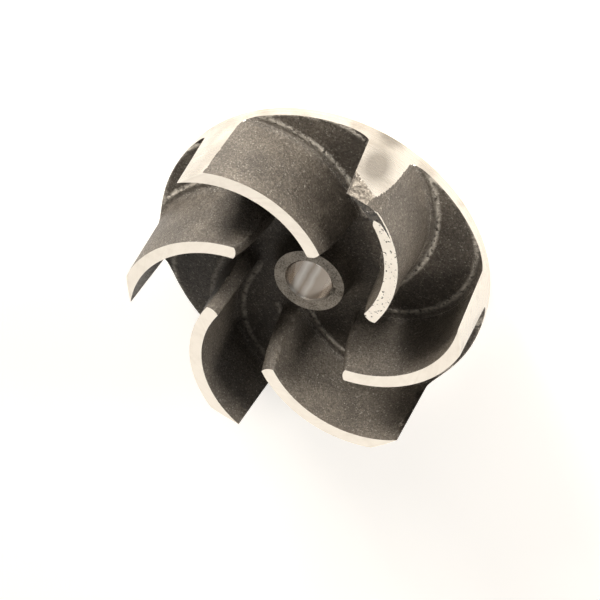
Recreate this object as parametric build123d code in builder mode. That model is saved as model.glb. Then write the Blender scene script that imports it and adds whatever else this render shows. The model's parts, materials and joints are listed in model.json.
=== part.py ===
from build123d import *

import os
from math import acos, cos, degrees, radians, sin, sqrt, tan

# Semi-open pump impeller, one sand casting in grey iron, turned on the outside, the vane edges,
# the back and the bore. The axis of rotation is Z, the eye faces +Z, and the origin is on the
# axis at the back boss, which the part rests on. The keyway lies on +X. Sizes in millimetres.

# Turned sizes
outer_diameter = 165.1
shroud_thickness = 6.7
vane_height = 42.6
hub_height = 16.3
rim_chamfer = 0.8

# Hub, bore and keyway
hub_face_diameter = 35.0
hub_draft = 7.0
hub_edge_round = 0.8
hub_root_fillet = 8.0
bore_diameter = 22.225
bore_chamfer = 0.9
keyway_width = 4.7625
keyway_depth = 2.255

# Back boss, which the shaft's shoulder bears on
boss_height = 2.4
boss_diameter = 44.0
boss_root_fillet = 1.5
boss_chamfer = 0.8

# Vanes: each follows one circular arc from the inlet to the rim
vane_count = 6
vane_arc_radius = 52.4
outlet_angle = 22.5
keyway_to_tip_angle = 18.8
inlet_thickness = 6.5
outlet_thickness = 5.9
vane_draft = 1.5
vane_root_fillet = 4.0
inlet_sweep = 5.5
foot_gap = 0.6
inlet_bulge = 1.0

# Metal that the casting carries before it is turned
turning_allowance = 6.0
facing_allowance = 2.0

# Edges are matched to their radius within this distance
match_distance = 0.001

# Heights above the back boss
shroud_back = boss_height
shroud_face = shroud_back + shroud_thickness
hub_face = shroud_face + hub_height
vane_edge = shroud_face + vane_height

# Radii of the turned form
outer_radius = outer_diameter / 2
bore_radius = bore_diameter / 2
boss_radius = boss_diameter / 2
hub_face_radius = hub_face_diameter / 2
hub_base_radius = hub_face_radius + hub_height * tan(radians(hub_draft))
hub_foot_radius = hub_base_radius + hub_root_fillet * tan(radians((90 - hub_draft) / 2))

# The arc's centre, from the outlet angle, and the angle at the axis from vane tip to arc centre
centre_distance = sqrt(
    outer_radius**2
    + vane_arc_radius**2
    - 2 * outer_radius * vane_arc_radius * cos(radians(outlet_angle))
)
tip_to_centre_angle = degrees(
    acos(
        (outer_radius**2 + centre_distance**2 - vane_arc_radius**2)
        / (2 * outer_radius * centre_distance)
    )
)

# The vane's foot clears the hub's root fillet, and the raw tip stands outside the turned rim
root_half_thickness = inlet_thickness / 2 + vane_height * tan(radians(vane_draft))
inlet_root_radius = hub_foot_radius + foot_gap + vane_root_fillet + inlet_thickness / 2
raw_tip_radius = outer_radius + turning_allowance
raw_rim_radius = raw_tip_radius + 2 * root_half_thickness + vane_root_fillet
raw_vane_edge = vane_edge + facing_allowance


def arc_angle(radius):
    """Direction, seen from the arc's centre, of the arc's point at a radius from the axis."""
    cosine = (centre_distance**2 + vane_arc_radius**2 - radius**2) / (
        2 * centre_distance * vane_arc_radius
    )
    return degrees(acos(cosine)) - 180


def arc_point(angle, side_offset):
    """A point beside the vane's centre line, at an offset to its convex side."""
    radius = vane_arc_radius + side_offset
    return (
        centre_distance + radius * cos(radians(angle)),
        radius * sin(radians(angle)),
    )


def vane_section(height):
    """The vane's outline at a height, thicker by the draft below the turned edge."""
    rise = (height - shroud_face) / vane_height
    draft_growth = (vane_edge - height) * tan(radians(vane_draft))
    half_inlet = inlet_thickness / 2 + draft_growth
    half_outlet = outlet_thickness / 2 + draft_growth
    half_middle = (half_inlet + half_outlet) / 2
    inlet = arc_angle(inlet_root_radius + inlet_sweep * rise**2)
    outlet = arc_angle(raw_tip_radius)
    middle = (inlet + outlet) / 2
    nose = inlet - degrees(inlet_bulge / vane_arc_radius)
    tail = outlet + degrees(half_outlet / vane_arc_radius)
    with BuildSketch(Plane.XY.offset(height)) as section:
        with BuildLine():
            ThreePointArc(
                arc_point(inlet, half_inlet),
                arc_point(middle, half_middle),
                arc_point(outlet, half_outlet),
            )
            ThreePointArc(
                arc_point(outlet, half_outlet),
                arc_point(tail, 0),
                arc_point(outlet, -half_outlet),
            )
            ThreePointArc(
                arc_point(outlet, -half_outlet),
                arc_point(middle, -half_middle),
                arc_point(inlet, -half_inlet),
            )
            ThreePointArc(
                arc_point(inlet, -half_inlet),
                arc_point(nose, 0),
                arc_point(inlet, half_inlet),
            )
        make_face()
    return section.sketch


# One raw vane, from inside the shroud to above the turned edge
vane_foot = shroud_face - shroud_thickness / 2
with BuildPart() as vane:
    add(vane_section(vane_foot))
    add(vane_section((vane_foot + raw_vane_edge) / 2))
    add(vane_section(raw_vane_edge))
    loft()

with BuildPart() as impeller:
    # Raw shroud and hub
    with BuildSketch(Plane.XZ) as body_profile:
        with BuildLine():
            Polyline(
                (0, 0),
                (boss_radius, 0),
                (boss_radius, shroud_back),
                (raw_rim_radius, shroud_back),
                (raw_rim_radius, shroud_face),
                (hub_base_radius, shroud_face),
                (hub_face_radius, hub_face),
                (0, hub_face),
                close=True,
            )
        make_face()
        corners = body_profile.vertices()
        fillet(corners.sort_by_distance((hub_base_radius, shroud_face))[0], hub_root_fillet)
        fillet(corners.sort_by_distance((hub_face_radius, hub_face))[0], hub_edge_round)
        fillet(corners.sort_by_distance((boss_radius, shroud_back))[0], boss_root_fillet)
        chamfer(corners.sort_by_distance((boss_radius, 0))[0], boss_chamfer)
    revolve(axis=Axis.Z)

    # Raw vanes, with the fillet that the mould leaves round their feet
    with PolarLocations(0, vane_count, keyway_to_tip_angle + tip_to_centre_angle):
        add(vane.part)
    vane_feet = impeller.edges(Select.NEW)
    fillet(vane_feet, vane_root_fillet)

    # Turning to the outside diameter and facing the vane edges
    with BuildSketch(Plane.XZ):
        Rectangle(outer_radius, vane_edge, align=Align.MIN)
    revolve(axis=Axis.Z, mode=Mode.INTERSECT)
    back_rim = impeller.edges().filter_by(GeomType.CIRCLE).filter_by(
        lambda edge: abs(edge.radius - outer_radius) < match_distance
    )
    chamfer(back_rim.sort_by(Axis.Z)[0], rim_chamfer)

    # Bore, chamfered at both ends, and its keyway
    Hole(bore_radius)
    bore_ends = impeller.edges().filter_by(GeomType.CIRCLE).filter_by(
        lambda edge: abs(edge.radius - bore_radius) < match_distance
    )
    chamfer(bore_ends, bore_chamfer)
    with BuildSketch(Plane.XY):
        Rectangle(bore_radius + keyway_depth, keyway_width, align=(Align.MIN, Align.CENTER))
    extrude(amount=hub_face, mode=Mode.SUBTRACT)

impeller.part.label = "impeller"
os.makedirs("parts", exist_ok=True)
export_step(impeller.part, "parts/impeller.step")
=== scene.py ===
"""Dresses a cast-iron pump impeller: a sand casting, then turned outside, faced and bored."""

import json
import logging
import math
from dataclasses import dataclass, field
from enum import IntEnum

import bpy
import numpy as np
from mathutils import Matrix, Vector, noise


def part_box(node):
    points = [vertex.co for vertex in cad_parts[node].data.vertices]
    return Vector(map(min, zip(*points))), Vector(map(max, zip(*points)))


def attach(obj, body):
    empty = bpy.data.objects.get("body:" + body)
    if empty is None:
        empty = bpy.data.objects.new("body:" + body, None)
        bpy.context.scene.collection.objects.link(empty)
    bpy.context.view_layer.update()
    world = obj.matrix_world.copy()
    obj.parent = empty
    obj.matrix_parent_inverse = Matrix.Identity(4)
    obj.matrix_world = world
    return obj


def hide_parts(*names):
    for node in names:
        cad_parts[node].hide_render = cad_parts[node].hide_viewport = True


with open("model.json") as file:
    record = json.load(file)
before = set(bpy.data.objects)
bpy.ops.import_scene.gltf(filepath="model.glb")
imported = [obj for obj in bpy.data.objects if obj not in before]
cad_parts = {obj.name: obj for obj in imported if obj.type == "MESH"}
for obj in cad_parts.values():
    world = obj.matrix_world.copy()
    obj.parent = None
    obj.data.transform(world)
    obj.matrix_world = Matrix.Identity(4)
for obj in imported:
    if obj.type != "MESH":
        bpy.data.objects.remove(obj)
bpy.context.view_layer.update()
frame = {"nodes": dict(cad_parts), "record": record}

log = logging.getLogger("impeller")
logging.basicConfig(level=logging.INFO, format="%(name)s: %(message)s")

MM = 0.001


class Finish(IntEnum):
    """The finishes that the one casting carries, in the order of its material slots."""

    SKIN = 0
    RIM = 1
    EDGE = 2
    BORE = 3
    BACK = 4
    HUB = 5
    RAW_TIP = 6


@dataclass(frozen=True)
class ImpellerSizes:
    """The impeller's own sizes, in metres, in the frame's axes."""

    outer_radius: float
    vane_edge: float
    hub_face: float
    bore_radius: float
    shroud_face: float = 9.1 * MM
    shroud_back: float = 2.4 * MM
    hub_face_radius: float = 17.5 * MM
    bore_chamfer: float = 0.9 * MM
    keyway_depth: float = 2.255 * MM
    keyway_half_width: float = 2.4 * MM
    vane_count: int = 6
    first_tip: float = math.radians(18.8)
    arc_radius: float = 52.4 * MM
    outlet_angle: float = math.radians(22.5)
    foot_reach: float = 8.25 * MM
    inlet_half_width: float = 3.25 * MM
    outlet_half_width: float = 2.95 * MM
    vane_sweep: float = math.radians(80)

    @classmethod
    def from_frame(cls) -> "ImpellerSizes":
        """Reads the overall sizes, the hub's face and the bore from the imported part."""
        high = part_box("impeller")[1]
        mounts = {mount["name"]: mount for mount in frame["record"]["mounts"]}
        return cls(
            outer_radius=high[0],
            vane_edge=high[2],
            hub_face=mounts["hub_face"]["pos_m"][2],
            bore_radius=mounts["bore"]["dims"]["r_mm"] * MM,
        )

    @property
    def centre_distance(self) -> float:
        """Distance from the axis to the centre of a vane's arc."""
        product = self.outer_radius * self.arc_radius * math.cos(self.outlet_angle)
        return math.sqrt(self.outer_radius**2 + self.arc_radius**2 - 2 * product)

    @property
    def tip_to_centre(self) -> float:
        """Angle at the axis between a vane's tip and the centre of its arc."""
        rise = self.outer_radius**2 + self.centre_distance**2 - self.arc_radius**2
        return math.acos(rise / (2 * self.outer_radius * self.centre_distance))

    def tip_angle(self, vane: int) -> float:
        """Angle about the axis of a vane's tip, for the vane's number from 0."""
        return self.first_tip + vane * 2 * math.pi / self.vane_count

    def nearest_vane(self, points: np.ndarray) -> tuple[np.ndarray, np.ndarray, np.ndarray]:
        """Finds where points lie beside the vanes.

        Args:
            points: Points in the frame, one row each.

        Returns:
            The nearest vane's number, the distance from its centre line, positive on its convex
            side, and the angle along its arc from the tip.
        """
        radius = np.hypot(points[:, 0], points[:, 1])
        best = np.full(len(points), 1.0)
        number = np.zeros(len(points), int)
        aside = np.full(len(points), 1.0)
        along = np.zeros(len(points))
        for vane in range(self.vane_count):
            turn = self.tip_angle(vane) + self.tip_to_centre
            centre = self.centre_distance * np.array([math.cos(turn), math.sin(turn)])
            tip = self.tip_angle(vane)
            outer = self.outer_radius * np.array([math.cos(tip), math.sin(tip)])
            arm = points[:, :2] - centre
            offset = np.hypot(arm[:, 0], arm[:, 1]) - self.arc_radius
            start = math.atan2(*(outer - centre)[::-1])
            sweep = (np.arctan2(arm[:, 1], arm[:, 0]) - start) % (2 * math.pi)
            sweep = np.minimum(sweep, 2 * math.pi - sweep)
            reach = np.where(sweep < math.radians(88), np.abs(offset), 1.0)
            reach = np.where(radius > 30 * MM, reach, np.abs(offset) + 0.01)
            nearer = reach < best
            best = np.where(nearer, reach, best)
            number = np.where(nearer, vane, number)
            aside = np.where(nearer, offset, aside)
            along = np.where(nearer, sweep, along)
        return number, aside, along


class NodeSheet:
    """A material's node tree, with short calls that add and join its nodes."""

    def __init__(self, name: str) -> None:
        """Makes an empty node material of that name."""
        self.material = bpy.data.materials.new(name)
        self.material.use_nodes = True
        self.tree = self.material.node_tree
        self.tree.nodes.clear()
        self.output = self.tree.nodes.new("ShaderNodeOutputMaterial")
        self.place = self.tree.nodes.new("ShaderNodeTexCoord").outputs["Object"]

    def add(self, kind: str, inputs: dict | None = None, **settings: object) -> bpy.types.Node:
        """Adds a node.

        Args:
            kind: The node's type, without its ShaderNode prefix.
            inputs: Values or output sockets, by the name or number of the input they go to.
            settings: The node's own properties.

        Returns:
            The new node.
        """
        node = self.tree.nodes.new("ShaderNode" + kind)
        for key, value in settings.items():
            setattr(node, key, value)
        for key, value in (inputs or {}).items():
            if isinstance(value, bpy.types.NodeSocket):
                self.tree.links.new(value, node.inputs[key])
            else:
                node.inputs[key].default_value = value
        return node

    def noise(self, scale: float, detail: float = 2.0, rough: float = 0.5) -> bpy.types.NodeSocket:
        """Returns soft noise, about 0 to 1, at a scale in features a metre."""
        inputs = {"Vector": self.place, "Scale": scale, "Detail": detail, "Roughness": rough}
        return self.add("TexNoise", inputs).outputs["Fac"]

    def lines(self, along: bpy.types.NodeSocket, scale: float) -> bpy.types.NodeSocket:
        """Returns noise that changes only along one distance, as tool lines do."""
        inputs = {"W": along, "Scale": scale, "Detail": 4.0, "Roughness": 0.6}
        return self.add("TexNoise", inputs, noise_dimensions="1D").outputs["Fac"]

    def height(self) -> bpy.types.NodeSocket:
        """Returns the height along the impeller's axis."""
        return self.add("SeparateXYZ", {0: self.place}).outputs["Z"]

    def radius(self) -> bpy.types.NodeSocket:
        """Returns the distance from the impeller's axis."""
        parts = self.add("SeparateXYZ", {0: self.place}).outputs
        flat = self.add("CombineXYZ", {"X": parts["X"], "Y": parts["Y"]}).outputs[0]
        return self.add("VectorMath", {0: flat}, operation="LENGTH").outputs["Value"]

    def math(self, operation: str, *values: object, clamp: bool = False) -> bpy.types.NodeSocket:
        """Returns the result of a sum on numbers or sockets."""
        inputs = dict(enumerate(values))
        node = self.add("Math", inputs, operation=operation, use_clamp=clamp)
        return node.outputs[0]

    def span(self, value: bpy.types.NodeSocket, low: float, high: float,
             to_low: float = 0.0, to_high: float = 1.0) -> bpy.types.NodeSocket:
        """Returns a value stretched smoothly from one span to another, and held inside it."""
        inputs = {"Value": value, "From Min": low, "From Max": high,
                  "To Min": to_low, "To Max": to_high}
        return self.add("MapRange", inputs, interpolation_type="SMOOTHSTEP").outputs["Result"]

    def ramp(self, value: bpy.types.NodeSocket,
             stops: list[tuple[float, tuple[float, float, float]]]) -> bpy.types.NodeSocket:
        """Returns a colour read from stops along a value.

        Args:
            value: The value, from 0 to 1.
            stops: Places along it, each with its colour.

        Returns:
            The colour's socket.
        """
        node = self.add("ValToRGB", {"Fac": value})
        elements = node.color_ramp.elements
        while len(elements) < len(stops):
            elements.new(0.5)
        for element, (place, colour) in zip(elements, stops):
            element.position = place
            element.color = (*colour, 1.0)
        return node.outputs["Color"]

    def mix(self, factor: object, first: object, second: object) -> bpy.types.NodeSocket:
        """Returns two colours mixed by a factor.

        Args:
            factor: The share of the second colour, as a number or a socket.
            first: The colour at 0.
            second: The colour at 1.

        Returns:
            The mixed colour's socket.
        """
        node = self.add("Mix", data_type="RGBA")
        for key, value in ((0, factor), (6, first), (7, second)):
            if isinstance(value, bpy.types.NodeSocket):
                self.tree.links.new(value, node.inputs[key])
            else:
                node.inputs[key].default_value = value if key == 0 else (*value, 1.0)
        return node.outputs[2]

    def attribute(self, name: str) -> bpy.types.NodeSocket:
        """Returns a number kept on the mesh's own points."""
        return self.add("Attribute", attribute_name=name).outputs["Fac"]

    def bump(self, height: bpy.types.NodeSocket, depth: float,
             under: bpy.types.NodeSocket | None = None) -> bpy.types.NodeSocket:
        """Returns a normal raised by a height, over another bump if one is given."""
        inputs = {"Height": height, "Strength": 1.0, "Distance": depth}
        if under is not None:
            inputs["Normal"] = under
        return self.add("Bump", inputs).outputs["Normal"]

    def finish(self, shader: bpy.types.NodeSocket) -> bpy.types.Material:
        """Joins the shader to the output and returns the material."""
        self.tree.links.new(shader, self.output.inputs["Surface"])
        return self.material


@dataclass(frozen=True)
class CastSkin:
    """The dark, sandy skin that the mould leaves."""

    name: str = "cast_skin"
    dark: tuple[float, float, float] = (0.024, 0.019, 0.014)
    plain: tuple[float, float, float] = (0.078, 0.064, 0.050)
    dusty: tuple[float, float, float] = (0.190, 0.162, 0.130)
    rubbed_and_highlight: tuple[float, float, float] = (0.62, 0.56, 0.48)
    fleck_and_glint: tuple[float, float, float] = (0.66, 0.62, 0.55)

    def build(self) -> bpy.types.Material:
        """Makes the skin: cloudy colour, sand grain in relief, and pale beads and flecks that are partly
        wear and partly painted highlight.
        """
        sheet = NodeSheet(self.name)
        clouds = sheet.noise(45, 5, 0.6)
        grain = sheet.noise(850, 4, 0.72)
        fine = sheet.noise(1900, 2, 0.6)
        both = sheet.math("MULTIPLY_ADD", fine, 0.35, sheet.math("MULTIPLY", grain, 0.65))
        tone = sheet.math("MULTIPLY_ADD", both, 0.70, sheet.math("MULTIPLY", clouds, 0.30))
        colour = sheet.ramp(tone, [(0.36, self.dark), (0.50, self.plain), (0.64, self.dusty)])
        # The beads at the vanes' feet take a paler colour: partly worn skin, partly a painted highlight.
        bead = sheet.attribute("bead")
        near = sheet.span(sheet.math("ABSOLUTE", bead), 0.2, 2.2, 1.0, 0.0)
        ragged = sheet.span(sheet.noise(420, 3, 0.7), 0.30, 0.56)
        uneven = sheet.span(sheet.noise(24, 2), 0.34, 0.58, 0.42, 1.0)
        ridge = sheet.math("MULTIPLY", near, sheet.math("MULTIPLY", ragged, uneven))
        colour = sheet.mix(sheet.math("MULTIPLY", ridge, 0.85), colour, self.rubbed_and_highlight)
        # Pale flecks, strongest on the beads: partly worn grain, partly painted glints.
        flecks = sheet.span(sheet.noise(1150, 1, 0.5), 0.64, 0.72)
        lit = sheet.math("MULTIPLY_ADD", ridge, 0.7, 0.30, clamp=True)
        colour = sheet.mix(sheet.math("MULTIPLY", flecks, lit), colour, self.fleck_and_glint)
        relief = sheet.bump(sheet.noise(170, 4, 0.6), 0.6 * MM)
        relief = sheet.bump(ridge, 0.8 * MM, relief)
        relief = sheet.bump(both, 0.9 * MM, relief)
        rough = sheet.span(both, 0.35, 0.65, 0.55, 0.34)
        shader = sheet.add("BsdfPrincipled", {
            "Base Color": colour, "Roughness": rough, "Normal": relief,
            "Metallic": 0.0, "Specular IOR Level": 0.55,
        })
        return sheet.finish(shader.outputs[0])


@dataclass(frozen=True)
class CutMetal:
    """Bright iron left by a cutting tool."""

    name: str
    colour: tuple[float, float, float] = (0.80, 0.76, 0.70)
    stain: tuple[float, float, float] = (0.46, 0.41, 0.35)
    roughness: float = 0.30
    metallic: float = 0.9
    spacing: float = 900.0
    groove: float = 0.006 * MM
    on_face: bool = False
    stained: float = 0.55
    pored: float = 0.5
    # Grey of the painted dark reflection on the rim at one vane's tip.
    painted_reflection_tone: tuple[float, float, float] = (0.30, 0.27, 0.235)

    def build(self) -> bpy.types.Material:
        """Makes the metal: fine tool lines round the axis, open grain, light stains and a painted dark
        reflection where the points carry one.
        """
        sheet = NodeSheet(self.name)
        lines = sheet.lines(sheet.radius() if self.on_face else sheet.height(), self.spacing)
        stains = sheet.span(sheet.noise(62, 2, 0.5), 0.44, 0.68)
        pores = sheet.span(sheet.noise(1700, 2, 0.6), 0.68, 0.76)
        colour = sheet.mix(sheet.math("MULTIPLY", stains, self.stained), self.colour, self.stain)
        colour = sheet.mix(sheet.math("MULTIPLY", pores, self.pored), colour, (0.12, 0.10, 0.08))
        # Painted dark reflection: grey mixed in on the rim where the points carry it.
        colour = sheet.mix(sheet.attribute("painted_reflection"), colour, self.painted_reflection_tone)
        rough = sheet.span(lines, 0.3, 0.7, self.roughness - 0.07, self.roughness + 0.10)
        relief = sheet.bump(lines, self.groove)
        shader = sheet.add("BsdfPrincipled", {
            "Base Color": colour, "Roughness": rough, "Normal": relief,
            "Metallic": self.metallic,
        })
        return sheet.finish(shader.outputs[0])


@dataclass(frozen=True)
class BoredHole:
    """The bore, reamed smooth.

    Its tones round the axis are painted reflections: two pale sheens between darker bands. They are painted
    and don't move with the light.
    """

    name: str = "bored_hole"
    sheens: tuple[tuple[float, tuple[float, float, float]], ...] = (
        (0.05, (0.32, 0.27, 0.22)), (0.22, (0.56, 0.48, 0.40)), (0.32, (1.0, 0.96, 0.89)),
        (0.40, (0.56, 0.48, 0.40)), (0.485, (1.0, 0.95, 0.87)), (0.54, (0.72, 0.63, 0.53)),
        (0.76, (0.84, 0.74, 0.63)), (0.94, (0.26, 0.22, 0.18)),
    )

    def build(self) -> bpy.types.Material:
        """Makes the bore: polished metal with painted reflections as tones round the axis, over light tool
        lines.
        """
        sheet = NodeSheet(self.name)
        parts = sheet.add("SeparateXYZ", {0: sheet.place}).outputs
        turn = sheet.math("ARCTAN2", parts["Y"], parts["X"])
        wander = sheet.math("MULTIPLY_ADD", sheet.noise(160, 2), 0.16, -0.08)
        share = sheet.math("MULTIPLY_ADD", sheet.math("ADD", turn, wander), 1 / math.pi, 1.0)
        # Painted reflections: the colour is read from fixed tones by the angle round the axis.
        colour = sheet.ramp(share, list(self.sheens))
        lines = sheet.lines(sheet.height(), 1500)
        relief = sheet.bump(lines, 0.0008 * MM)
        rough = sheet.span(lines, 0.3, 0.7, 0.16, 0.24)
        shader = sheet.add("BsdfPrincipled", {
            "Base Color": colour, "Roughness": rough, "Normal": relief, "Metallic": 0.72,
        })
        return sheet.finish(shader.outputs[0])


@dataclass(frozen=True)
class FacedEdge:
    """The vanes' edges, faced bright, with pits where the casting was low."""

    name: str = "faced_edge"
    colour: tuple[float, float, float] = (0.89, 0.83, 0.745)
    dull: tuple[float, float, float] = (0.66, 0.60, 0.52)
    pit: tuple[float, float, float] = (0.012, 0.010, 0.008)
    sand: tuple[float, float, float] = (0.14, 0.118, 0.095)

    def build(self) -> bpy.types.Material:
        """Makes the edge: pale metal, ragged borders and dark open pits."""
        sheet = NodeSheet(self.name)
        pitting = sheet.attribute("pitting")
        lines = sheet.lines(sheet.radius(), 1100)
        cloud = sheet.span(sheet.noise(150, 4, 0.6), 0.42, 0.75)
        colour = sheet.mix(sheet.math("MULTIPLY", cloud, 0.28), self.colour, self.dull)
        holes = sheet.noise(620, 3, 0.62)
        limit = sheet.math("MULTIPLY_ADD", pitting, -0.17, 0.78)
        open_pit = sheet.span(sheet.math("SUBTRACT", holes, limit), 0.0, 0.025)
        ragged = sheet.math("MULTIPLY_ADD", sheet.noise(420, 4, 0.7), 1.6, -0.8)
        reach = sheet.math("MULTIPLY_ADD", pitting, 0.85, 0.0)
        off_middle = sheet.math("ABSOLUTE", sheet.attribute("aside"))
        inside = sheet.math("SUBTRACT", sheet.attribute("half_width"), off_middle)
        border = sheet.math("MULTIPLY_ADD", ragged, reach, inside)
        skin = sheet.span(border, -0.30, -0.12, 1.0, 0.0)
        dark = sheet.math("MAXIMUM", open_pit, skin)
        beside = sheet.math("ABSOLUTE", sheet.attribute("burr"))
        burr = sheet.math("MULTIPLY_ADD", sheet.noise(900, 3, 0.7), 0.9, beside)
        dark = sheet.math("MINIMUM", dark, sheet.span(burr, 0.72, 0.88))
        sandy = sheet.span(sheet.noise(900, 4, 0.7), 0.35, 0.68)
        low = sheet.mix(sandy, self.pit, self.sand)
        colour = sheet.mix(dark, colour, low)
        rough = sheet.span(lines, 0.3, 0.7, 0.34, 0.50)
        bright = sheet.math("MULTIPLY_ADD", dark, -0.80, 0.80)
        relief = sheet.bump(sheet.math("MULTIPLY", dark, -1.0), 0.25 * MM)
        relief = sheet.bump(lines, 0.006 * MM, relief)
        shader = sheet.add("BsdfPrincipled", {
            "Base Color": colour, "Roughness": rough, "Normal": relief, "Metallic": bright,
        })
        return sheet.finish(shader.outputs[0])


@dataclass(frozen=True)
class RawTip:
    """The vane tip that the turning tool cut only lightly, grey and mottled."""

    name: str = "raw_tip"

    def build(self) -> bpy.types.Material:
        """Makes the tip: light grey mottling over dark pores."""
        sheet = NodeSheet(self.name)
        mottle = sheet.noise(520, 4, 0.7)
        colour = sheet.ramp(mottle, [
            (0.36, (0.06, 0.05, 0.04)), (0.49, (0.21, 0.183, 0.152)), (0.66, (0.42, 0.375, 0.32)),
        ])
        relief = sheet.bump(mottle, 0.6 * MM)
        shader = sheet.add("BsdfPrincipled", {
            "Base Color": colour, "Roughness": 0.48, "Normal": relief, "Metallic": 0.45,
        })
        return sheet.finish(shader.outputs[0])


@dataclass(frozen=True)
class HubFace:
    """The hub's face, cast and lightly cleaned."""

    name: str = "hub_face"

    def build(self) -> bpy.types.Material:
        """Makes the face: even grey-brown grain."""
        sheet = NodeSheet(self.name)
        grain = sheet.noise(1100, 4, 0.7)
        tone = sheet.math("MULTIPLY_ADD", grain, 0.7, sheet.math("MULTIPLY", sheet.noise(130, 3), 0.3))
        colour = sheet.ramp(tone, [
            (0.36, (0.07, 0.06, 0.048)), (0.50, (0.36, 0.315, 0.26)), (0.66, (0.56, 0.50, 0.43)),
        ])
        relief = sheet.bump(grain, 0.3 * MM)
        shader = sheet.add("BsdfPrincipled", {
            "Base Color": colour, "Roughness": 0.5, "Normal": relief, "Metallic": 0.15,
        })
        return sheet.finish(shader.outputs[0])


@dataclass(frozen=True)
class RoughTip:
    """Where one vane's tip stayed cast, in millimetres across and up the tip's outer face."""

    vane: int = 1
    acute_edge: float = math.radians(5.8)
    convex_line: tuple[tuple[float, float], ...] = (
        (10.0, 19.4), (19.1, 17.8), (26.0, 17.2), (31.8, 16.1), (37.9, 14.7), (42.5, 12.9), (45.7, 11.2),
        (52.0, 10.4),
    )
    mottle_start: float = 37.2
    mottle_slope: float = 0.66
    inset_slope: float = 0.30
    mottle_depth: float = 0.25
    trimmed: float = 1.25
    trim_end: float = math.radians(30)
    trim_fade: float = math.radians(16)
    bare_end: float = math.radians(14)
    bare_fade: float = math.radians(5.5)
    bare_depth: float = 4.0
    burr_start: float = math.radians(6)
    burr_end: float = math.radians(30)
    burr_line: float = 2.65
    open_pitting: float = 1.0
    light_pitting: float = 0.05
    far_away: float = 9.0
    rim_depth: float = 1.0 * MM
    # Strength and places of the painted dark reflection on the rim at this tip.
    reflection_gain: float = 1.25
    reflection_limit: float = 0.85
    mottle_wander: float = 1.6
    border_wander: float = 0.2
    patch_on_vane: tuple[float, float, float, float] = (5.8, 6.5, 26.0, 12.0)
    patch_on_rim: tuple[float, float, float, float] = (5.5, 6.0, 4.0, 5.0)

    def across(self, sizes: ImpellerSizes, points: np.ndarray) -> np.ndarray:
        """Returns the distance round the rim from the tip's sharp edge, in millimetres."""
        start = sizes.tip_angle(self.vane) + self.acute_edge
        turn = start - np.arctan2(points[:, 1], points[:, 0])
        turn = (turn + math.pi) % (2 * math.pi) - math.pi
        return turn * sizes.outer_radius / MM

    def cast_depth(self, sizes: ImpellerSizes, points: np.ndarray) -> np.ndarray:
        """Returns how far points lie past the turned area, in millimetres, positive where cast."""
        heights, limits = np.array(self.convex_line).T
        up = points[:, 2] / MM
        return self.across(sizes, points) - np.interp(up, heights, limits)

    def painted_reflection(self, sizes: ImpellerSizes, points: np.ndarray) -> np.ndarray:
        """Returns how strong the painted dark reflection on the rim is at this tip, from 0 to 1.

        The two patches are fixed tones that stand in for reflections. Each is given by its middle and
        its spread, first round the rim and then up it, in millimetres.

        Args:
            sizes: The impeller's sizes.
            points: Points in the frame, one row each.

        Returns:
            The greyness at each point.
        """
        across, up = self.across(sizes, points), points[:, 2] / MM
        patches = [
            np.exp(-(((across - middle) / spread) ** 2) - ((up - level) / rise) ** 2)
            for middle, spread, level, rise in (self.patch_on_vane, self.patch_on_rim)
        ]
        at_rim = np.hypot(points[:, 0], points[:, 1]) > sizes.outer_radius - self.rim_depth
        return np.where(at_rim, np.minimum(self.reflection_gain * np.maximum(*patches), self.reflection_limit), 0.0)

    def mottle(self, sizes: ImpellerSizes, points: np.ndarray) -> np.ndarray:
        """Returns how far above the lightly cut area points lie, in millimetres."""
        across = self.across(sizes, points)
        return points[:, 2] / MM - self.mottle_start - self.mottle_slope * across


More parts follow.
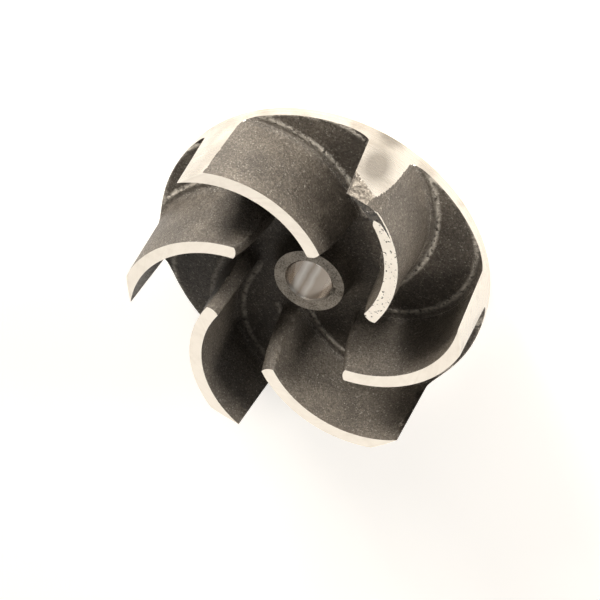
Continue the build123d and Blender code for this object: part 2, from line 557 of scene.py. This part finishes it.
@dataclass
class Casting:
    """The impeller as one piece, detailed from the part's own solid."""

    sizes: ImpellerSizes
    tip: RoughTip = field(default_factory=RoughTip)
    name: str = "impeller_casting"
    grid: float = 2.8 * MM
    wave_depth: float = 0.22 * MM
    grain_depth: float = 0.10 * MM
    bead_height: float = 0.45 * MM
    bead_width: float = 1.3 * MM
    bead_start: float = 31 * MM
    refined_start: float = 33 * MM
    refined_strip: float = 1.4 * MM
    refined_area: float = 0.45 * MM * MM
    wave_size: float = 16 * MM
    ripple_size: float = 7 * MM
    grain_size: float = 2.6 * MM
    rim_fade: float = 3.5 * MM
    raised_tip: float = 17 * MM
    edge_inset: float = 0.6 * MM
    round_outside: float = 0.99
    round_inside: float = 0.97
    smooth_angle: float = math.radians(32)
    weld_reach: float = 0.002 * MM
    floor_reach: float = 0.8 * MM
    floor_fade: float = 1.5 * MM
    bead_floor: float = 1.6 * MM
    bead_fade: float = 4 * MM
    refined_tip: float = 15 * MM
    wander_size: float = 1.6 * MM
    looks_up: float = 0.9
    piece: bpy.types.Object | None = field(default=None, init=False)

    def copy_solid(self) -> None:
        """Copies the part's solid and joins its loose triangles."""
        bpy.ops.object.select_all(action="DESELECT")
        mesh = frame["nodes"]["impeller"].data.copy()
        mesh.name = self.name
        piece = bpy.data.objects.new(self.name, mesh)
        bpy.context.scene.collection.objects.link(piece)
        bpy.context.view_layer.objects.active = piece
        piece.select_set(True)
        bpy.ops.object.mode_set(mode="EDIT")
        bpy.ops.mesh.select_all(action="SELECT")
        bpy.ops.mesh.remove_doubles(threshold=self.weld_reach)
        bpy.ops.object.mode_set(mode="OBJECT")
        self.piece = piece

    def points(self) -> np.ndarray:
        """Returns the mesh's points, one row each."""
        mesh = self.piece.data
        places = np.empty(len(mesh.vertices) * 3)
        mesh.vertices.foreach_get("co", places)
        return places.reshape(-1, 3)

    def faces(self) -> tuple[np.ndarray, np.ndarray]:
        """Returns the middles and the normals of the mesh's faces."""
        mesh = self.piece.data
        middles = np.empty(len(mesh.polygons) * 3)
        normals = np.empty(len(mesh.polygons) * 3)
        mesh.polygons.foreach_get("center", middles)
        mesh.polygons.foreach_get("normal", normals)
        return middles.reshape(-1, 3), normals.reshape(-1, 3)

    def finishes(self) -> np.ndarray:
        """Returns the finish of each face."""
        slots = np.empty(len(self.piece.data.polygons), np.int32)
        self.piece.data.polygons.foreach_get("material_index", slots)
        return slots

    def corners(self) -> tuple[np.ndarray, np.ndarray]:
        """Returns the point at each face corner, and the number of corners of each face."""
        mesh = self.piece.data
        points = np.empty(len(mesh.loops), np.int32)
        mesh.loops.foreach_get("vertex_index", points)
        totals = np.empty(len(mesh.polygons), np.int32)
        mesh.polygons.foreach_get("loop_total", totals)
        return points, totals

    def outwardness(self, middles: np.ndarray, normals: np.ndarray) -> np.ndarray:
        """Returns how far each face looks away from the axis, from -1 to 1."""
        radius = np.hypot(middles[:, 0], middles[:, 1])
        return (middles[:, 0] * normals[:, 0] + middles[:, 1] * normals[:, 1]) / radius

    def select_faces(self, chosen: np.ndarray) -> None:
        """Selects some faces and nothing else, and stays in edit mode.

        Args:
            chosen: True for each face to select.
        """
        bpy.ops.object.mode_set(mode="EDIT")
        bpy.ops.mesh.select_all(action="DESELECT")
        bpy.ops.mesh.select_mode(type="FACE")
        bpy.ops.object.mode_set(mode="OBJECT")
        self.piece.data.polygons.foreach_set("select", chosen.astype(bool))
        bpy.ops.object.mode_set(mode="EDIT")

    def left_plain(self) -> np.ndarray:
        """Returns which faces are machined and need no finer mesh."""
        slots = self.finishes()
        middles = self.faces()[0]
        at_tip = self.sizes.nearest_vane(middles)[0] == self.tip.vane
        flat = np.isin(slots, (Finish.EDGE, Finish.BORE, Finish.BACK, Finish.HUB))
        return flat | ((slots == Finish.RIM) & ~at_tip)

    def cut_grid(self) -> None:
        """Cuts the long triangles on an even grid, so that the skin can be shaped."""
        reach = self.sizes.outer_radius
        spans = ((0, -reach, reach), (1, -reach, reach), (2, 0.0, self.sizes.vane_edge))
        self.select_faces(self.left_plain())
        bpy.ops.mesh.hide(unselected=False)
        for axis, low, high in spans:
            steps = int((high - low) / self.grid)
            normal = [0.0, 0.0, 0.0]
            normal[axis] = 1.0
            for step in range(1, steps + 1):
                point = [0.0, 0.0, 0.0]
                point[axis] = low + step * (high - low) / (steps + 1)
                bpy.ops.mesh.select_all(action="SELECT")
                bpy.ops.mesh.bisect(plane_co=point, plane_no=normal)
        bpy.ops.mesh.reveal(select=False)
        bpy.ops.mesh.select_all(action="SELECT")
        bpy.ops.mesh.quads_convert_to_tris(quad_method="BEAUTY", ngon_method="BEAUTY")
        bpy.ops.object.mode_set(mode="OBJECT")

    def refine(self) -> None:
        """Divides the faces again at the rough tip and along the beads at the vanes' feet."""
        sizes = self.sizes
        for _ in range(2):
            middles, normals = self.faces()
            number, aside, _along = sizes.nearest_vane(middles)
            radius = np.hypot(middles[:, 0], middles[:, 1])
            floor = (np.abs(middles[:, 2] - sizes.shroud_face) < self.floor_reach) & (normals[:, 2] > 0.5)
            bead = floor & (np.abs(np.abs(aside) - sizes.foot_reach) < self.refined_strip)
            at_tip = (
                (number == self.tip.vane)
                & (radius > sizes.outer_radius - 0.5 * MM)
                & (middles[:, 2] > self.refined_tip)
            )
            areas = np.empty(len(middles))
            self.piece.data.polygons.foreach_get("area", areas)
            coarse = areas > self.refined_area
            self.select_faces(coarse & ((bead & (radius > self.refined_start)) | at_tip))
            bpy.ops.mesh.subdivide(number_cuts=1)
            bpy.ops.mesh.select_all(action="SELECT")
            bpy.ops.mesh.quads_convert_to_tris(quad_method="BEAUTY", ngon_method="BEAUTY")
            bpy.ops.object.mode_set(mode="OBJECT")

    def machined(self) -> np.ndarray:
        """Returns which points touch a machined face."""
        touched = np.zeros(len(self.piece.data.vertices), bool)
        corners, totals = self.corners()
        cast = (int(Finish.SKIN), int(Finish.RAW_TIP))
        owner = np.repeat(~np.isin(self.finishes(), cast), totals)
        touched[corners[owner]] = True
        return touched

    def shape_skin(self) -> None:
        """Gives the cast faces their waves, beads and rough tip, and leaves the machined faces true."""
        sizes, mesh = self.sizes, self.piece.data
        places = self.points()
        normals = np.empty(len(mesh.vertices) * 3)
        mesh.vertices.foreach_get("normal", normals)
        normals = normals.reshape(-1, 3)
        free = ~self.machined()
        number, aside, _along = sizes.nearest_vane(places)
        radius = np.hypot(places[:, 0], places[:, 1])
        push = np.zeros(len(places))
        for row in np.flatnonzero(free):
            spot = Vector(places[row])
            wave = noise.noise(spot / self.wave_size) + 0.5 * noise.noise(spot / self.ripple_size)
            grain = noise.noise(spot / self.grain_size)
            push[row] = wave * self.wave_depth + grain * self.grain_depth
        floor = np.clip(1 - np.abs(places[:, 2] - sizes.shroud_face) / self.floor_fade, 0, 1)
        bead = (np.abs(aside) - sizes.foot_reach) / self.bead_width
        reach = np.clip((radius - self.bead_start) / self.bead_fade, 0, 1) * floor
        push += np.where(free, self.bead_height * np.exp(-bead * bead) * reach, 0)
        push *= np.clip((sizes.outer_radius - radius) / self.rim_fade, 0, 1)
        moved = places + normals * push[:, None]
        at_rim = (number == self.tip.vane) & (radius > sizes.outer_radius - 0.05 * MM)
        depth = np.clip(self.tip.cast_depth(sizes, places), 0, 4) * self.tip.inset_slope
        mottle = np.clip(self.tip.mottle(sizes, places), 0, 1.5) * self.tip.mottle_depth
        raised = at_rim & (places[:, 2] > self.raised_tip)
        inset = np.where(raised, np.maximum(depth, mottle), 0) * MM
        on_edge = places[:, 2] > sizes.vane_edge - 0.01 * MM
        inset = np.where(on_edge, np.minimum(inset, self.edge_inset), inset)
        moved[:, :2] -= places[:, :2] / np.maximum(radius, MM)[:, None] * inset[:, None]
        mesh.vertices.foreach_set("co", moved.ravel())
        mesh.update()

    def note_places(self) -> None:
        """Keeps on each point what the finishes need: its distances, pitting, burr and painted reflection
        patches.
        """
        sizes, tip, mesh = self.sizes, self.tip, self.piece.data
        places = self.points()
        number, aside, along = sizes.nearest_vane(places)
        share = np.clip(along / sizes.vane_sweep, 0, 1)
        half = sizes.outlet_half_width + share * (sizes.inlet_half_width - sizes.outlet_half_width)
        radius = np.hypot(places[:, 0], places[:, 1])
        on_floor = np.abs(places[:, 2] - sizes.shroud_face) < self.bead_floor
        on_bead = on_floor & (radius > self.bead_start)
        bead = np.where(on_bead, (np.abs(aside) - sizes.foot_reach) / MM, tip.far_away)
        on_tip_vane = number == tip.vane
        pitting = np.where(on_tip_vane, tip.open_pitting, tip.light_pitting)
        near_tip = np.clip((tip.trim_end - along) / tip.trim_fade, 0, 1) * on_tip_vane
        bare = np.clip((tip.bare_end - along) / tip.bare_fade, 0, 1) * on_tip_vane
        half = half / MM - tip.trimmed * near_tip - tip.bare_depth * bare
        in_burr = on_tip_vane & (along > tip.burr_start) & (along < tip.burr_end)
        burr = np.where(in_burr, aside / MM - tip.burr_line, tip.far_away)
        # The last value is the strength of the painted dark reflection on the rim at one vane's tip.
        noted = {"bead": bead, "aside": aside / MM + tip.trimmed * near_tip, "half_width": half,
                 "pitting": pitting, "burr": burr, "painted_reflection": tip.painted_reflection(sizes, places)}
        for name, values in noted.items():
            layer = mesh.attributes.new(name, "FLOAT", "POINT")
            layer.data.foreach_set("value", values.astype(np.float32))

    def give_finishes(self) -> None:
        """Gives each face its finish, by where it lies and which way it faces."""
        sizes = self.sizes
        mesh = self.piece.data
        middles, normals = self.faces()
        radius = np.hypot(middles[:, 0], middles[:, 1])
        outward = self.outwardness(middles, normals)
        height = middles[:, 2]
        slots = np.full(len(middles), int(Finish.SKIN))
        rim = (radius > sizes.outer_radius - 0.1 * MM) & (outward > 0.7)
        slots[rim] = Finish.RIM
        number = sizes.nearest_vane(middles)[0]
        on_tip = rim & (number == self.tip.vane) & (height > self.raised_tip)
        wander = np.array([noise.noise(Vector(spot) / self.wander_size) for spot in middles[on_tip]])
        mottle = self.tip.mottle(sizes, middles[on_tip]) + self.tip.mottle_wander * wander
        depth = self.tip.cast_depth(sizes, middles[on_tip]) + self.tip.border_wander * wander
        slots[np.flatnonzero(on_tip)[mottle > 0]] = Finish.RAW_TIP
        slots[np.flatnonzero(on_tip)[depth > 0]] = Finish.SKIN
        slots[(height > sizes.vane_edge - 0.02 * MM) & (normals[:, 2] > self.looks_up)] = Finish.EDGE
        back = (height < sizes.shroud_back + 0.9 * MM) & (radius > sizes.bore_radius)
        under = (normals[:, 2] < -0.3) | (height < sizes.shroud_back - 0.01 * MM)
        slots[back & under] = Finish.BACK
        on_hub = (height > sizes.hub_face - 0.05 * MM) & (radius < sizes.hub_face_radius)
        slots[on_hub & (height < sizes.hub_face + 0.05 * MM) & (normals[:, 2] > self.looks_up)] = Finish.HUB
        in_bore = radius < sizes.bore_radius + 0.95 * sizes.bore_chamfer
        in_keyway = (
            (np.abs(middles[:, 1]) < sizes.keyway_half_width)
            & (middles[:, 0] > 0)
            & (radius < sizes.bore_radius + sizes.keyway_depth + 0.1 * MM)
            & (np.abs(normals[:, 2]) < 0.5)
        )
        slots[in_bore & (np.abs(normals[:, 2]) < self.looks_up)] = Finish.BORE
        slots[in_keyway & (radius > sizes.bore_radius + 0.15 * MM)] = Finish.HUB
        mesh.polygons.foreach_set("material_index", slots.astype(np.int32))
        mesh.update()

    def true_faces(self) -> None:
        """Gives the rim, the bore, its chamfers and the faced edges the shading of true surfaces.

        The surfaces stay as they are. Only their shading normals are set.
        """
        middles, normals = self.faces()
        slots = self.finishes()
        outward = self.outwardness(middles, normals)
        side = np.where((slots == Finish.RIM) & (outward > self.round_outside), 1.0, 0.0)
        side -= np.where((slots == Finish.BORE) & (outward < -self.round_inside), 1.0, 0.0)
        corners, totals = self.corners()
        shading = self.points()[corners]
        shading[:, 2] = 0.0
        shading /= np.maximum(np.linalg.norm(shading, axis=1), MM)[:, None]
        tilt = np.where((slots == Finish.BORE) & (np.abs(normals[:, 2]) > 0.5), normals[:, 2], 0.0)
        side = np.where(tilt != 0, -np.sqrt(1 - tilt * tilt), side)
        shading *= np.repeat(side, totals)[:, None]
        shading[:, 2] = np.repeat(np.where(slots == Finish.EDGE, 1.0, tilt), totals)
        self.piece.data.normals_split_custom_set(shading.tolist())

    def dress(self) -> None:
        """Gives the piece its materials, in the order of the finishes."""
        made = {
            Finish.SKIN: CastSkin().build(),
            Finish.RIM: CutMetal(
                "turned_rim", metallic=1.0, colour=(0.78, 0.73, 0.66), roughness=0.24,
            ).build(),
            Finish.EDGE: FacedEdge().build(),
            Finish.BORE: BoredHole().build(),
            Finish.BACK: CutMetal("turned_back", roughness=0.34, on_face=True, spacing=1400).build(),
            Finish.HUB: HubFace().build(),
            Finish.RAW_TIP: RawTip().build(),
        }
        self.piece.data.materials.clear()
        for finish in Finish:
            self.piece.data.materials.append(made[finish])

    def build(self) -> bpy.types.Object:
        """Builds the piece and returns it."""
        self.copy_solid()
        self.dress()
        self.give_finishes()
        self.cut_grid()
        self.refine()
        self.give_finishes()
        self.note_places()
        self.shape_skin()
        bpy.ops.object.shade_smooth_by_angle(angle=self.smooth_angle)
        self.true_faces()
        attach(self.piece, "root")
        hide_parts("impeller")
        return self.piece


@dataclass
class Studio:
    """A pale floor, soft lamps and the camera."""

    camera_place: tuple[float, float, float] = (0.11220931, 0.71618081, 0.79003789)
    camera_right: tuple[float, float, float] = (0.91259, 0.21944, -0.34499)
    camera_up: tuple[float, float, float] = (-0.39467, 0.69320, -0.60308)
    camera_back: tuple[float, float, float] = (0.10680, 0.68653, 0.71922)
    focal_length: float = 133.957
    target: tuple[float, float, float] = (-0.00157, -0.01519, 0.02384)

    def build_camera(self) -> None:
        """Places the camera, turned about its own line of sight."""
        data = bpy.data.cameras.new("camera")
        data.lens = self.focal_length
        data.sensor_width = 36.0
        data.clip_start = 0.01
        data.clip_end = 100.0
        camera = bpy.data.objects.new("camera", data)
        bpy.context.scene.collection.objects.link(camera)
        axes = Matrix((self.camera_right, self.camera_up, self.camera_back)).transposed()
        camera.matrix_world = Matrix.Translation(self.camera_place) @ axes.to_4x4()
        bpy.context.scene.camera = camera

    def build_lamp(self, name: str, towards: tuple[float, float, float], distance: float,
                   width: float, power: float, colour: tuple[float, float, float]) -> None:
        """Places a soft square lamp that faces the object.

        Args:
            name: The lamp's name.
            towards: Direction from the object to the lamp, in the frame's axes.
            distance: Distance from the object, in metres.
            width: The lamp's side.
            power: Its power in watts.
            colour: Its colour.
        """
        data = bpy.data.lights.new(name, "AREA")
        data.shape = "SQUARE"
        data.size = width
        data.energy = power
        data.color = colour
        lamp = bpy.data.objects.new(name, data)
        bpy.context.scene.collection.objects.link(lamp)
        arm = Vector(towards).normalized() * distance
        lamp.location = Vector(self.target) + arm
        lamp.rotation_mode = "QUATERNION"
        lamp.rotation_quaternion = (-arm).to_track_quat("-Z", "Y")

    def build_lamps(self) -> None:
        """Places three lamps above, a pale bounce below and a weak lamp at the front."""
        self.build_lamp("lamp_left", (-0.62, 0.76, 0.16), 1.0, 0.42, 20.0, (1.0, 0.97, 0.91))
        self.build_lamp("lamp_right", (0.78, 0.58, 0.20), 1.0, 0.36, 10.0, (1.0, 0.97, 0.91))
        self.build_lamp("lamp_top", (-0.22, 0.88, 0.42), 1.1, 0.45, 2.0, (1.0, 0.97, 0.91))
        self.build_lamp("bounce_below", (-0.05, -0.70, 0.71), 1.2, 1.1, 5.0, (1.0, 0.96, 0.90))
        self.build_lamp("lamp_front", (0.35, 0.45, 0.82), 1.3, 0.4, 0.4, (1.0, 0.98, 0.96))

    def build_floor(self) -> None:
        """Lays the pale floor that the impeller rests on."""
        bpy.ops.object.select_all(action="DESELECT")
        bpy.ops.mesh.primitive_plane_add(size=12.0, location=(0, 0, 0))
        floor = bpy.context.active_object
        floor.name = "floor"
        sheet = NodeSheet("pale_floor")
        shade = sheet.add("BsdfDiffuse", {"Color": (0.88, 0.85, 0.81, 1.0)}).outputs[0]
        lift = sheet.add("Emission", {"Color": (1.0, 0.99, 0.98, 1.0), "Strength": 0.46}).outputs[0]
        both = sheet.add("AddShader", {0: shade, 1: lift}).outputs[0]
        path = sheet.add("LightPath")
        seen = sheet.math("MAXIMUM", path.outputs["Is Camera Ray"], path.outputs["Is Glossy Ray"])
        seen = sheet.math("MAXIMUM", seen, path.outputs["Is Transmission Ray"])
        whole = sheet.add("MixShader", {0: seen, 1: shade, 2: both}).outputs[0]
        floor.data.materials.append(sheet.finish(whole))

    def build_world(self) -> None:
        """Fills the room with weak, even light, and shows white behind the object."""
        world = bpy.data.worlds.new("room")
        world.use_nodes = True
        bpy.context.scene.world = world
        nodes, links = world.node_tree.nodes, world.node_tree.links
        room = nodes["Background"]
        room.inputs["Color"].default_value = (1.0, 0.985, 0.96, 1.0)
        room.inputs["Strength"].default_value = 0.10
        white = nodes.new("ShaderNodeBackground")
        white.inputs["Color"].default_value = (1.0, 1.0, 1.0, 1.0)
        white.inputs["Strength"].default_value = 1.0
        path = nodes.new("ShaderNodeLightPath")
        choice = nodes.new("ShaderNodeMixShader")
        links.new(path.outputs["Is Camera Ray"], choice.inputs[0])
        links.new(room.outputs[0], choice.inputs[1])
        links.new(white.outputs[0], choice.inputs[2])
        links.new(choice.outputs[0], nodes["World Output"].inputs["Surface"])

    def build(self) -> None:
        """Builds the whole studio."""
        bpy.context.scene.view_settings.view_transform = "Standard"
        self.build_camera()
        self.build_lamps()
        self.build_floor()
        self.build_world()


def main() -> None:
    """Builds the impeller and its studio."""
    sizes = ImpellerSizes.from_frame()
    piece = Casting(sizes).build()
    piece.data.calc_loop_triangles()
    log.info("%s has %d triangles", piece.name, len(piece.data.loop_triangles))
    Studio().build()


if __name__ == "__main__":
    main()
